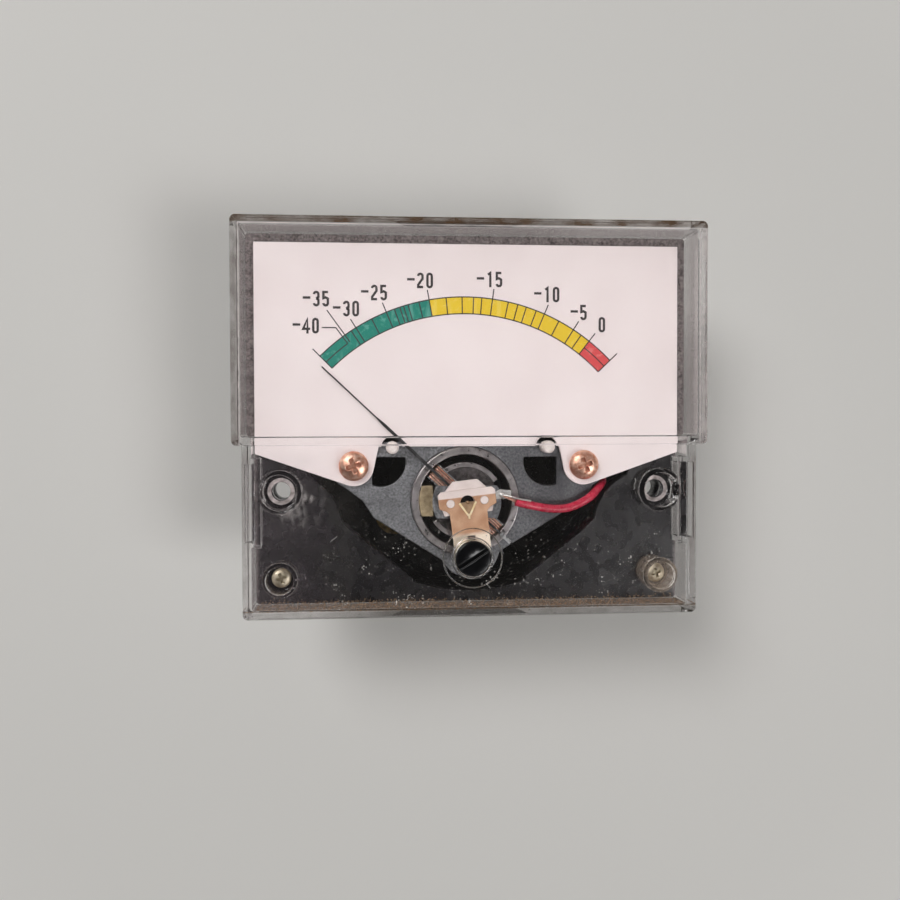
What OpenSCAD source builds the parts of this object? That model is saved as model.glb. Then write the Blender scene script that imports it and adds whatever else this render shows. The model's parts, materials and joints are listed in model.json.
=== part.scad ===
// Dew point meter: a moving-coil panel meter with a clear cover, lying face up.
// Millimetres. +Z is the way the dial faces, +Y is the top of the dial.
// The origin is on the barrel's axis, on the plane that seats on the panel.

/* [Case] */
// Width of the dial window
face_w = 88.9; // [84:0.1:110]
// Top edge of the window above the barrel axis
window_top = 37.5; // [36.5:0.1:50]
// Height of the window part of the cover
window_h = 42; // [41:0.1:55]
// Width of the lower part, which the lost bezel used to cover
lower_w = 85.6; // [84.8:0.1:106]
// Height of the lower part of the cover
lower_h = 32.25; // [31.8:0.05:45]
// Height of the window's front above the panel
face_z = 15; // [14.6:0.1:24]
// Step from the window down to the lower panel
step_z = 1.6; // [0.8:0.1:2]
// Side walls of the cover
wall = 1.5; // [1:0.1:1.8]
// Thickness of the window's front
window_t = 1.8; // [1:0.1:2.4]
// Thickness of the lower panel
panel_t = 1.6; // [1.3:0.1:1.9]
// Corner radius of the cover
corner_r = 1; // [0.6:0.1:3]

/* [Snap slots for the lost bezel] */
// Distance of the slots from the outside of the walls
slot_out = 0.65; // [0.5:0.05:0.8]
// Width of each slot
slot_w = 1.2; // [0.8:0.1:1.4]
// Length of each slot
slot_l = 14.5; // [8:0.5:15.5]
// Height of the middle of each slot
slot_y = -15.2; // [-17:0.1:-14]
// Thickness of the rib beside each slot
slot_rib = 1.4; // [1:0.1:1.5]

/* [Screw bosses] */
// Distance of the bosses from the sides of the lower part
boss_in = 6.75; // [6.5:0.05:7.3]
// Distance of the upper bosses from the window's lower edge
upper_in = 8.75; // [8.5:0.05:9.3]
// Distance of the lower bosses from the bottom edge
lower_in = 7.15; // [6.3:0.05:9]
// Radius of an upper boss
upper_boss_r = 4.05; // [3.9:0.05:4.2]
// Radius of the sunk seat in an upper boss
upper_seat_r = 3.3; // [2.4:0.05:3.4]
// Radius of the panel screw hole
panel_hole_r = 1.75; // [1.5:0.05:1.95]
// Radius of a lower boss
lower_boss_r = 3.2; // [3:0.05:3.6]
// Radius of the sunk seat in a lower boss
lower_seat_r = 2.6; // [2:0.05:2.7]
// Height of the sunk seats
seat_z = 8.6; // [7:0.1:9.5]

/* [Cover screws] */
// Radius of the head
cover_head_r = 1.85; // [1.5:0.05:1.95]
// Height of the head
cover_head_h = 1.3; // [1:0.1:2]
// Radius of the shank
cover_shank_r = 1; // [0.8:0.05:1.2]

/* [Base] */
// Thickness of the base plate
base_t = 5.4; // [5:0.1:5.6]
// Outside radius of the barrel
barrel_r = 35; // [34.5:0.1:36]
// Wall of the barrel
barrel_wall = 2; // [1.5:0.1:2.5]
// Depth of the barrel behind the panel
barrel_d = 20; // [19.2:0.1:30]
// Thickness of the barrel floor
floor_t = 2.5; // [1.5:0.1:3]
// Radius of the flat pads beside the bosses
pad_r = 12; // [10:0.1:12.4]
// Radius of the pillars under the movement
pillar_r = 3.4; // [2.6:0.1:4]
// Radius of the pillar below the ring
low_pillar_r = 2; // [1.6:0.1:2.1]

/* [Dial] */
// Gap between the dial and the side walls
dial_side_gap = 1.8; // [1.75:0.05:2.5]
// Gap between the dial and the top wall
dial_top_gap = 1.9; // [1:0.1:4]
// Height where the lower corners begin
dial_side_y = -6.2; // [-6.8:0.1:-5.4]
// Lower edge of the dial between its ears
dial_low_y = -4.9; // [-4.95:0.05:-4.6]
// Half the width of the dial between its ears, at its lower edge
dial_gap_x = 17.6; // [17.3:0.1:18]
// Thickness of the dial sheet
dial_t = 0.8; // [0.5:0.1:1]
// Radius of the ears
ear_r = 3.9; // [3.4:0.1:4.2]
// Distance between the dial screws
screw_span = 44.8; // [44.4:0.1:45.4]
// Height of the dial screws
screw_y = -8.6; // [-9:0.1:-8.2]

/* [Dial screws] */
// Radius of the head
head_r = 2.85; // [2.4:0.05:3.2]
// Height of the head
head_h = 1.9; // [1.4:0.1:2.4]
// Radius of the shank
shank_r = 1.4; // [1.1:0.05:1.6]
// Length of the shank
shank_l = 9; // [6:0.5:14]

/* [Pointer stops] */
// Distance between the two stops
stop_span = 30; // [29.4:0.1:30.6]
// Height of the stops
stop_y = -5.05; // [-5.3:0.05:-4.8]
// Radius of a stop
stop_r = 1.2; // [0.9:0.05:1.25]
// Height of a stop above the frame
stop_h = 4; // [3.4:0.1:5]
// Radius of the dial's notch round a stop
notch_r = 2.1; // [1.8:0.05:2.3]

/* [Movement] */
// Offset of the moving coil's axis from the middle of the case
pivot_x = -0.85; // [-1:0.05:-0.7]
// Height of the moving coil's axis
pivot_y = -15.5; // [-15.7:0.05:-15.3]
// Thickness of the frame plate
frame_t = 1.6; // [1.2:0.1:2]
// Radius of the frame's ears
frame_ear_r = 4.6; // [4:0.1:4.7]
// Distance of the frame's two holes from the coil's axis
frame_hole_x = 16.3; // [16:0.1:16.6]
// Radius of the frame's two holes
frame_hole_r = 4.75; // [4:0.05:4.8]
// Outside radius of the yoke ring
yoke_r = 10.5; // [10.2:0.05:10.55]
// Inside radius of the yoke ring
yoke_in_r = 9; // [8.95:0.05:9.4]
// Height of the yoke ring
yoke_h = 13; // [10:0.1:14]
// Height of the yoke ring above the frame
yoke_up = 0.8; // [0.4:0.1:0.85]
// Outside radius of the pole shoes
shoe_r = 7.5; // [7:0.05:7.55]
// Thickness of the pole shoes
shoe_t = 0.95; // [0.6:0.05:1.2]
// Half the angle that a pole shoe covers
shoe_half = 57; // [40:1:60]
// Half the distance between the flats of the core
core_flat = 6.2; // [6:0.05:6.3]
// Height of the core
core_h = 12.2; // [9:0.1:12.3]
// Height of the core block, across the axis
block_w = 6; // [4:0.1:6.4]

/* [Moving coil] */
// Angle of the needle at rest
needle_rest = 136.7; // [136:0.1:137.4]
// Half the length of the coil
coil_half = 8.6; // [8.3:0.05:8.65]
// Width of the coil
coil_w = 3.3; // [2.8:0.05:3.4]
// Thickness of the former's sheet
former_t = 0.2; // [0.12:0.01:0.25]
// Thickness of the winding
winding_t = 0.55; // [0.3:0.05:0.58]
// Length of the needle from the axis
needle_l = 37.7; // [30:0.1:38]
// Length of the flat arm from the axis
arm_l = 23.6; // [18:0.1:28]
// Width of the flat arm
arm_w = 0.6; // [0.5:0.05:1]
// Radius of the needle's round hub
needle_hub_r = 1.6; // [1:0.05:1.65]
// Thickness of the flat arm
arm_t = 0.3; // [0.2:0.05:0.4]
// Radius of the thin needle
needle_r = 0.14; // [0.08:0.01:0.2]
// Length of the tail from the axis
tail_l = 12.3; // [10:0.1:12.6]
// Radius of the taut bands
band_r = 0.12; // [0.06:0.01:0.2]

/* [Bridge and zero lever] */
// Radius of the upper bridge
bridge_r = 6.6; // [6.4:0.05:6.8]
// Width of the upper bridge
bridge_w = 6.2; // [5:0.1:6.4]
// Thickness of the bridges
bridge_t = 0.6; // [0.5:0.05:0.7]
// Height of the upper bridge above the panel
bridge_z = 8.7; // [8.6:0.05:8.8]
// Thickness of the lever's insulator
pad_t = 0.8; // [0.7:0.05:0.85]
// Thickness of the zero lever
lever_t = 0.4; // [0.3:0.05:0.45]
// Half the width of the lever's stem
stem_half = 3.5; // [2.6:0.05:3.6]
// Half the width of the lever's head
lever_half = 5.5; // [5:0.1:5.6]
// Height of the lever's head above the coil's axis
lever_up = 2.5; // [2:0.1:3]
// Length of the lever past the zero pin
lever_end = 2.2; // [1.6:0.1:2.6]
// Half the width of the insulator
insulator_half = 4.9; // [4.6:0.05:4.95]
// Height of the insulator above the coil's axis
insulator_up = 4.2; // [3.6:0.1:4.6]
// Distance of the rivet ends from the coil's axis
rivet_x = 3.25; // [3:0.05:3.4]
// Radius of the rivet ends
rivet_r = 0.78; // [0.6:0.02:0.9]
// Radius of the hole in the lever
lever_hole_r = 1.35; // [1:0.05:1.4]

/* [Zero screw] */
// Height of the zero screw's axis
zero_y = -25.95; // [-26.1:0.05:-25.8]
// Radius of its head
zero_head_r = 3.35; // [3:0.05:3.4]
// Radius of its shank
zero_shank_r = 2.4; // [2.3:0.05:2.45]
// Offset of its pin from the axis
zero_throw = 1.8; // [1.75:0.01:1.85]
// Radius of its pin
zero_pin_r = 0.5; // [0.4:0.05:0.52]
// Angle of the pin from the line to the coil's axis, at rest
zero_pin_a = 3; // [0:0.5:6]
// Angle of the screwdriver slot
zero_slot_a = 33; // [0:1:90]
// Inside radius of the clear collar
collar_in_r = 3.9; // [3.75:0.05:4.1]
// Outside radius of the clear collar
collar_r = 5.6; // [5:0.05:5.8]

/* [Lead] */
// Radius of the lead over its insulation
lead_r = 0.82; // [0.6:0.01:0.85]

/* [Terminals] */
// Distance between the studs
stud_span = 28; // [26:0.1:32]
// Height of the studs
stud_y = -20; // [-21:0.1:-18]
// Radius of a stud
stud_r = 2.4; // [2:0.05:2.5]
// Length of a stud behind the barrel
stud_l = 7.5; // [6.2:0.1:8]
// Radius of a stud's pilot end
stud_tip_r = 1.95; // [1.6:0.05:2]
// Length of a stud's pilot end
stud_tip_l = 1.8; // [1:0.1:1.8]
// Radius of a stud's head
stud_head_r = 4.2; // [3.6:0.1:4.6]
// Height of a stud's head
stud_head = 2.2; // [1.6:0.1:2.6]
// Thickness of a nut
nut_h = 2.4; // [2:0.1:2.6]
// Width of a nut across its flats
nut_af = 9.5; // [8:0.1:10]
// Thickness of a washer
washer_t = 0.8; // [0.5:0.05:1]
// Radius of a washer
washer_r = 5; // [4.4:0.1:5.6]

/* [Fits] */
// Gap between the base and the cover
base_gap = 0.15; // [0.1:0.05:0.3]
// Gap round screws, pins and shafts
fit = 0.1; // [0.05:0.01:0.15]
// Gap of parts that are pushed home
snug = 0.03; // [0.02:0.01:0.05]
// Side gap of the pin in the lever's slot
pin_gap = 0.2; // [0.18:0.01:0.25]

/* [Hidden] */
$fn = 72;
window_low = window_top - window_h;
lower_low = window_low - lower_h;
panel_z = face_z - step_z;
panel_in = panel_z - panel_t;
boss_span = lower_w - 2 * boss_in;
upper_y = window_low - upper_in;
lower_y = lower_low + lower_in;
dial_w = face_w - 2 * (wall + dial_side_gap);
dial_top = window_top - wall - dial_top_gap;
dial_z = base_t + dial_t;
frame_z = base_t - frame_t;
yoke_z = base_t + yoke_up;
core_z = yoke_z - 0.4;
shoe_z = yoke_z - 0.2;
core_r = shoe_r - shoe_t - snug;
coil_in = coil_half - 0.05 - winding_t - former_t;
coil_top_in = yoke_z + 0.1;
coil_low_in = core_z - core_h - 0.3;
coil_top = coil_top_in + former_t + winding_t + 0.15;
coil_low = coil_low_in - former_t - winding_t - 0.05;
hub_t = 0.3;
arm_z = coil_top + hub_t;
pad_z = bridge_z + bridge_t;
lever_z = pad_z + pad_t;
spring_z = lever_z + lever_t;
spring_t = 0.25;
post_r = 0.75;
post_x = 5.3;
low_bridge_z = coil_low - 1.6;
zero_l = pivot_y - zero_y;
pin_x = zero_throw * sin(zero_pin_a);
pin_y = zero_l - zero_throw * cos(zero_pin_a);
pin_reach = norm([pin_x - pivot_x, pin_y]);
lever_a = atan((pin_x - pivot_x) / pin_y);
lever_l = pin_reach + lever_end;
strap_x = pivot_x + 0.4 - bridge_r;
back_z = -barrel_d;
floor_z = back_z + floor_t;
wire_z = floor_z + stud_head;
// Middle line of the lead, from the lug to the right terminal
lead_path = [[8.5, -15.45, pad_z + 0.62], [9.6, -15.8, pad_z + 0.55], [12.4, -16.45, pad_z - 0.1],
    [15.5, -17, pad_z - 1], [18.6, -17, pad_z - 1.7], [21.6, -16.1, 6.9], [23.9, -14.7, 6.5],
    [25.8, -13.2, 4.6], [26.9, -12.3, 3], [27.3, -11.2, 1.2], [27.2, -10.6, -1.8], [26.3, -13.5, -8],
    [22, -17.2, -11.8], [17, -19.4, -13.8], [14.2, -20.2, wire_z + lead_r + 0.02]];

// Flat rectangle with round corners
module sheet(x0, x1, y0, y1, r) {
    translate([x0 + r, y0]) square([x1 - x0 - 2 * r, y1 - y0]);
    translate([x0, y0 + r]) square([x1 - x0, y1 - y0 - 2 * r]);
    for (x = [x0 + r, x1 - r], y = [y0 + r, y1 - r]) translate([x, y]) circle(r);
}

// Outline from its right half, given from the top down
function mirrored(p) = concat(p, [for (i = [len(p) - 1:-1:0]) [-p[i][0], p[i][1]]]);

// Places at both bosses of a pair
module both(span, y) {
    for (s = [-1, 1]) translate([s * span / 2, y, 0]) children();
}

// Places on the moving coil's axis
module on_axis(z) {
    translate([pivot_x, pivot_y, z]) children();
}

// Screw with a domed head and a cross recess, standing on its seat
module screw(hr, hh, sr, sl) {
    difference() {
        union() {
            rotate_extrude() polygon(concat([[0, 0], [hr, 0]],
                [for (a = [0:15:90]) [hr * cos(a), hh * (0.35 + 0.65 * sin(a))]]));
            translate([0, 0, -sl]) cylinder(r = sr, h = sl + 0.2);
        }
        for (a = [20, 110]) rotate(a) translate([-hr * 0.5, -hr * 0.13, hh * 0.4])
            cube([hr, hr * 0.26, hh]);
    }
}

// Clear moulded cover
module front_cover() color("#d5dde0", 0.3) {
    slot_in = lower_w / 2 - slot_out - slot_w;
    difference() {
        union() {
            difference() {
                union() {
                    linear_extrude(face_z)
                        sheet(-face_w / 2, face_w / 2, window_low, window_top, corner_r);
                    linear_extrude(panel_z)
                        sheet(-lower_w / 2, lower_w / 2, lower_low, window_low + 4, corner_r);
                }
                translate([0, 0, -1]) linear_extrude(face_z - window_t + 1)
                    sheet(wall - face_w / 2, face_w / 2 - wall, window_low + wall, window_top - wall, 0.5);
                translate([0, 0, -1]) linear_extrude(panel_in + 1)
                    sheet(wall - lower_w / 2, lower_w / 2 - wall, lower_low + wall,
                        window_low + wall + 2, 0.5);
            }
            translate([0, 0, base_t]) {
                both(boss_span, upper_y) cylinder(r = upper_boss_r, h = panel_in - base_t + 0.5);
                both(boss_span, lower_y) cylinder(r = lower_boss_r, h = panel_in - base_t + 0.5);
            }
            translate([0, zero_y, spring_z + 0.5]) cylinder(r = collar_r, h = panel_in - spring_z);
            for (s = [-1, 1]) translate([s * (slot_in - slot_rib / 2), slot_y, panel_in - 2.3])
                cube([slot_rib, slot_l + 2, 5], center = true);
            for (s = [-1, 1], e = [-1, 1])
                translate([s * (slot_in + slot_w / 2), slot_y + e * (slot_l / 2 + 0.5), panel_in - 2.3])
                    cube([slot_w + 0.4, 1, 5], center = true);
        }
        both(boss_span, upper_y) {
            cylinder(r = panel_hole_r, h = face_z + 5);
            translate([0, 0, seat_z]) cylinder(r = upper_seat_r, h = face_z);
        }
        both(boss_span, lower_y) {
            cylinder(r = cover_shank_r + fit, h = face_z + 5);
            translate([0, 0, seat_z]) cylinder(r = lower_seat_r, h = face_z);
        }
        translate([0, zero_y, 1]) {
            cylinder(r = zero_shank_r + fit, h = face_z + 5);
            translate([0, 0, panel_z - 1 - 0.9]) cylinder(r = zero_head_r + fit, h = 5);
            cylinder(r = collar_in_r, h = panel_in - 1);
        }
        for (s = [-1, 1]) translate([s * (slot_in + slot_w / 2), slot_y, panel_z])
            cube([slot_w, slot_l, panel_t * 4], center = true);
    }
}

// Two screws that hold the cover
module cover_screws() color("#c9c3b0")
    translate([0, 0, seat_z]) both(boss_span, lower_y)
        screw(cover_head_r, cover_head_h, cover_shank_r, seat_z - 0.8);

// Slotted zero screw with its off-centre pin
module zero_screw() color("#141416") translate([0, zero_y, 0]) {
    shank_z = panel_in - 1;
    difference() {
        union() {
            translate([0, 0, panel_z - 0.9]) rotate_extrude() polygon([[0, 0], [zero_head_r, 0],
                [zero_head_r, 0.75], [zero_head_r - 0.25, 1], [0, 1.15]]);
            translate([0, 0, shank_z]) cylinder(r = zero_shank_r, h = panel_z - 0.9 - shank_z + 0.2);
        }
        rotate(zero_slot_a) translate([-5, -0.42, panel_z - 0.5]) cube([10, 0.84, 5]);
    }
    rotate(-zero_pin_a) translate([0, zero_throw, lever_z - 0.3])
        cylinder(r = zero_pin_r, h = shank_z - lever_z + 0.6);
}

// Push-on clip behind the panel
module zero_clip() color("#b9bcc0") translate([0, zero_y, panel_in - 0.6]) difference() {
    cylinder(r = collar_in_r - 0.3, h = 0.55);
    translate([0, 0, -1]) cylinder(r = zero_shank_r + snug, h = 5);
}

// Outline of the base plate inside the cover
module base_sheet() {
    g = wall + base_gap;
    sheet(g - face_w / 2, face_w / 2 - g, window_low + g, window_top - g, 0.6);
    sheet(g - lower_w / 2, lower_w / 2 - g, lower_low + g, window_low + g + 3, 0.6);
}

// Moulded base with its barrel, pads and pillars
module base() color("#26282b") difference() {
    union() {
        difference() {
            union() {
                linear_extrude(base_t) base_sheet();
                translate([0, 0, back_z]) cylinder(r = barrel_r, h = barrel_d + 1, $fn = 144);
            }
            translate([0, 0, floor_z]) cylinder(r = barrel_r - barrel_wall, h = 60, $fn = 144);
        }
        intersection() {
            union() {
                both(boss_span + 0.9, (upper_y + lower_y) / 2) cylinder(r = pad_r, h = base_t);
                for (s = [0, 1]) mirror([s, 0, 0]) linear_extrude(base_t)
                    polygon([[26, -18], [22.5, -21.5], [11, -30.6], [11, -40], [40, -40], [40, -18]]);
            }
            cylinder(r = barrel_r - barrel_wall + 1, h = base_t, $fn = 144);
        }
        translate([0, 0, floor_z - 1]) {
            both(screw_span, screw_y) cylinder(r = pillar_r, h = frame_z - floor_z + 1);
            translate([0, pivot_y - yoke_r - low_pillar_r - 0.4, 0])
                cylinder(r = low_pillar_r, h = frame_z - floor_z + 1);
        }
    }
    both(screw_span, screw_y) translate([0, 0, dial_z - shank_l - 1]) cylinder(r = shank_r + fit, h = 60);
    both(boss_span, upper_y) translate([0, 0, -1]) cylinder(r = panel_hole_r, h = 9);
    both(boss_span, lower_y) translate([0, 0, 0.6]) cylinder(r = cover_shank_r + fit, h = 9);
    both(stud_span, stud_y) translate([0, 0, back_z - 1]) cylinder(r = stud_r + fit, h = floor_t + 2);
}

// Printed dial with two screw ears and two notches
module dial_plate() color("#e9e2e0") {
    h = dial_w / 2;
    x = screw_span / 2;
    // The lower edge runs from each lower corner to the round of the ear
    slope = atan2(dial_side_y - screw_y, h - x) + asin(ear_r / norm([h - x, dial_side_y - screw_y]));
    tx = x + ear_r * sin(slope);
    ty = screw_y - ear_r * cos(slope);
    translate([0, 0, base_t]) difference() {
        union() {
            linear_extrude(dial_t) polygon(mirrored([[h, dial_top], [h, dial_side_y], [tx, ty], [x, screw_y],
                [x - ear_r, screw_y - 0.4], [dial_gap_x, dial_low_y]]));
            both(screw_span, screw_y) cylinder(r = ear_r, h = dial_t);
        }
        both(screw_span, screw_y) translate([0, 0, -1]) cylinder(r = shank_r + fit, h = 5);
        both(stop_span, stop_y) translate([0, 0, -1]) cylinder(r = notch_r, h = 5);
    }
}

// Two screws through the dial and the frame
module dial_screws() color("#b0674a")
    translate([0, 0, dial_z]) both(screw_span, screw_y) screw(head_r, head_h, shank_r, shank_l);

// Two pegs that stop the needle
module pointer_stops() color("#e6ded2") both(stop_span, stop_y) {
    translate([0, 0, base_t]) rotate_extrude() polygon([[0, 0], [stop_r, 0], [stop_r, stop_h - 0.3],
        [stop_r - 0.3, stop_h], [0, stop_h]]);
    translate([0, 0, frame_z]) cylinder(r = 0.6, h = frame_t + 0.2);
}

// Plated frame plate of the movement
module movement_frame() color("#8f9296") translate([0, 0, frame_z]) {
    x = screw_span / 2;
    difference() {
        union() {
            linear_extrude(frame_t) polygon([[x, screw_y + frame_ear_r], [x + 2.1, screw_y - 4],
                [x + 1.1, pivot_y + 0.4], [pivot_x + 7.75, pivot_y - 9.4], [pivot_x + 4.2, pivot_y - 12],
                [pivot_x - 3.85, pivot_y - 12.1], [3.75 - x, pivot_y - 3.2], [1.75 - x, pivot_y],
                [-x - 2.1, screw_y - 4], [-x, screw_y + frame_ear_r]]);
            both(screw_span, screw_y) cylinder(r = frame_ear_r, h = frame_t);
            translate([0, zero_y + 1.3, 0]) cylinder(r = 5.9, h = frame_t);
        }
        both(screw_span, screw_y) translate([0, 0, -1]) cylinder(r = shank_r + fit, h = 5);
        both(stop_span, stop_y) translate([0, 0, -1]) cylinder(r = 0.6 + snug, h = 5);
        on_axis(-1) cylinder(r = yoke_r + snug, h = 5, $fn = 96);
        translate([pivot_x, 0, 0]) for (s = [0, 1]) mirror([s, 0, 0]) intersection() {
            translate([frame_hole_x, screw_y + 0.7, -1]) cylinder(r = frame_hole_r, h = 5);
            translate([frame_hole_x - 6.3, screw_y - 6.4, -1]) cube([8, 8, 5]);
        }
    }
}

// Soft iron ring round the coil
module yoke_ring() color("#a4a6a8") on_axis(yoke_z - yoke_h) difference() {
    cylinder(r = yoke_r, h = yoke_h, $fn = 96);
    translate([0, 0, -1]) cylinder(r = yoke_in_r, h = yoke_h + 5, $fn = 96);
}

// Magnet core with two flats
module core_magnet() color("#4a4648") on_axis(core_z - core_h) intersection() {
    cylinder(r = core_r, h = core_h, $fn = 96);
    translate([-core_flat, -20, -1]) cube([core_flat * 2, 40, core_h + 5]);
}

// Two curved shoes on the core
module pole_shoes() color("#b4b6b6") on_axis(core_z - core_h)
    for (s = [90, 270]) rotate([0, 0, s - shoe_half]) rotate_extrude(angle = shoe_half * 2, $fn = 96)
        translate([shoe_r - shoe_t, 0]) square([shoe_t, shoe_z - core_z + core_h]);

// Block that holds the core in the ring
module core_block() color("#9c8a5a") on_axis(core_z - core_h) intersection() {
    cylinder(r = yoke_in_r - snug, h = core_h + 0.2, $fn = 96);
    translate([-core_flat - yoke_in_r, -block_w / 2, -1]) cube([yoke_in_r, block_w, core_h + 5]);
}

// Posts between the core and the two bridges
module bridge_posts() color("#b8995a") on_axis(0) for (s = [-1, 1]) {
    translate([s * post_x, 0, core_z]) cylinder(r = post_r, h = bridge_z - core_z);
    translate([s * post_x, 0, low_bridge_z]) cylinder(r = post_r, h = core_z - core_h - low_bridge_z);
}

// Flat bar with round ends over or under the core
module bridge(z, hole) on_axis(z) difference() {
    intersection() {
        cylinder(r = bridge_r, h = bridge_t);
        translate([-10, -bridge_w / 2, -1]) cube([20, bridge_w, 5]);
    }
    translate([0, 0, -1]) cylinder(r = hole, h = 5);
}

// Bridge in front of the coil
module upper_bridge() color("#9a9b9b") bridge(bridge_z, lever_hole_r + 0.5);

// Bridge behind the coil
module lower_bridge() color("#9a9b9b") bridge(low_bridge_z - bridge_t, 1);

// Moulded insulator under the zero lever, with two rivet ends
module lever_insulator() color("#e3dace") on_axis(0) rotate([0, 0, lever_a]) difference() {
    w = insulator_half;
    union() {
        translate([0, 0, pad_z]) linear_extrude(pad_t) polygon(mirrored([[w - 2.5, insulator_up],
            [w - 1, insulator_up - 1.6], [w - 0.7, 0.4], [w, -1], [w - 0.3, -2.2], [w - 1.7, -2.2],
            [w - 3.3, -3]]));
        translate([0, 0, bridge_z + 0.2]) cylinder(r = lever_hole_r + 0.5 - fit, h = 1);
        both(2 * rivet_x, 0.1) translate([0, 0, lever_z - 0.3]) cylinder(r = rivet_r, h = lever_t + 0.45);
    }
    translate([0, 0, bridge_z - 1]) cylinder(r = lever_hole_r, h = 5);
}

// Zero lever with its slot for the pin
module zero_lever() color("#c9a878") on_axis(lever_z) rotate([0, 0, lever_a]) difference() {
    w = lever_half;
    linear_extrude(lever_t) polygon(mirrored([[w - 0.6, lever_up], [w, lever_up - 0.6], [w, -0.7],
        [w - 1.3, -1.3], [stem_half + 0.1, -1.9], [stem_half, 0.9 - lever_l], [stem_half - 0.9, -lever_l]]));
    translate([0, 0, -1]) {
        cylinder(r = lever_hole_r, h = 5);
        both(2 * rivet_x, 0.1) cylinder(r = rivet_r + snug, h = 5);
        translate([-0.75, 1.8 - pin_reach, 0]) cube([1.5, 0.55, 5]);
        translate([-zero_pin_r - pin_gap, -pin_reach - zero_pin_r - 0.6, 0])
            cube([2 * (zero_pin_r + pin_gap), 2.05, 5]);
    }
}

// Spring tongue that holds the upper band
module upper_spring() color("#c8a35c") on_axis(spring_z) rotate([0, 0, lever_a]) {
    linear_extrude(spring_t) polygon([[-1.75, 0.1], [1.75, 0.1], [0.25, -2.4], [-0.25, -2.4]]);
    translate([0, 0, spring_t - 0.05]) cylinder(r1 = 0.35, r2 = 0.15, h = 0.25, $fn = 24);
}

// Taut band over the coil
module upper_band() color("#c9b070") on_axis(arm_z + arm_t)
    cylinder(r = band_r, h = spring_z - arm_z - arm_t, $fn = 24);

// Taut band under the coil
module lower_band() color("#c9b070") on_axis(low_bridge_z - bridge_t - 0.4)
    cylinder(r = band_r, h = coil_low - hub_t - low_bridge_z + bridge_t + 0.4, $fn = 24);

// Spring leaf that holds the lower band
module lower_spring() color("#c8a35c") on_axis(low_bridge_z - bridge_t - 0.65) {
    translate([-3, -0.9, 0]) cube([6, 1.8, spring_t]);
    for (s = [-1, 1]) translate([s * 2.6 - 0.4, -0.9, 0]) cube([0.8, 1.8, 0.65]);
}

// Rectangular loop in the plane of the needle and the axis
module loop(half, z0, z1, in_half, i0, i1, w) difference() {
    translate([-half, -w / 2, z0]) cube([half * 2, w, z1 - z0]);
    translate([-in_half, -w, i0]) cube([in_half * 2, w * 2, i1 - i0]);
}

// Metal former of the moving coil
module coil_former() color("#b9bbbd") on_axis(0) rotate([0, 0, needle_rest]) {
    loop(coil_in + former_t, coil_low_in - former_t, coil_top_in + former_t,
        coil_in, coil_low_in, coil_top_in, coil_w);
    for (s = [-1, 1]) translate([0, s * (coil_w - former_t) / 2, 0])
        loop(coil_half, coil_low, coil_top, coil_in, coil_low_in, coil_top_in, former_t);
    translate([0, 0, coil_top]) cylinder(r = coil_w / 2, h = hub_t);
    translate([0, 0, coil_low - hub_t]) cylinder(r = coil_w / 2, h = hub_t);
}

// Copper winding of the moving coil
module coil_winding() color("#b8704f") on_axis(0) rotate([0, 0, needle_rest])
    loop(coil_half - 0.05, coil_low + 0.05, coil_top, coil_in + former_t, coil_low_in - former_t,
        coil_top_in + former_t, coil_w - 2 * former_t);

// Needle: a round hub and a flat arm that ends in a thin rod, with a tail
module pointer() color("#2a2a2c") on_axis(arm_z) rotate([0, 0, needle_rest]) {
    linear_extrude(arm_t) polygon([[-tail_l, -0.2], [-5, -0.25], [-2, -arm_w / 2], [arm_l - 2, -arm_w / 2],
        [arm_l, -needle_r], [arm_l, needle_r], [arm_l - 2, arm_w / 2], [-2, arm_w / 2], [-5, 0.25],
        [-tail_l, 0.2]]);
    cylinder(r = needle_hub_r, h = arm_t);
    translate([arm_l - 2, 0, arm_t / 2]) rotate([0, 90, 0])
        cylinder(r = needle_r, h = needle_l - arm_l + 2, $fn = 24);
}

// Balance weight on the tail
module tail_weight() color("#b5b7b9") on_axis(arm_z + arm_t) rotate([0, 0, needle_rest])
    translate([0.6 - tail_l, -0.35, 0]) cube([2.6, 0.7, 0.45]);

// Tinned lug on the upper bridge
module lead_lug() color("#c9c6be") on_axis(pad_z) linear_extrude(0.3)
    polygon([[5.35, 0.5], [8.45, 0.7], [8.45, 2.2], [6.3, 2.4], [5.35, 1.8]]);

// Solder and bare strands on the lug
module lead_solder() color("#d6d6d2") on_axis(pad_z + 0.3) {
    translate([6.9, 1.2, 0]) cylinder(r1 = 0.65, r2 = 0.3, h = 0.5);
    translate([6.9, 1.2, 0.32]) rotate([0, 90, -25]) cylinder(r = 0.3, h = 2.65, $fn = 24);
}

// Point on the smooth line through the given points
function curve(p, i, t) = let (
    a = p[max(i - 1, 0)], b = p[i], c = p[i + 1], d = p[min(i + 2, len(p) - 1)])
    0.5 * (2 * b + (c - a) * t + (2 * a - 5 * b + 4 * c - d) * t * t + (3 * b - a - 3 * c + d) * t * t * t);

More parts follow.
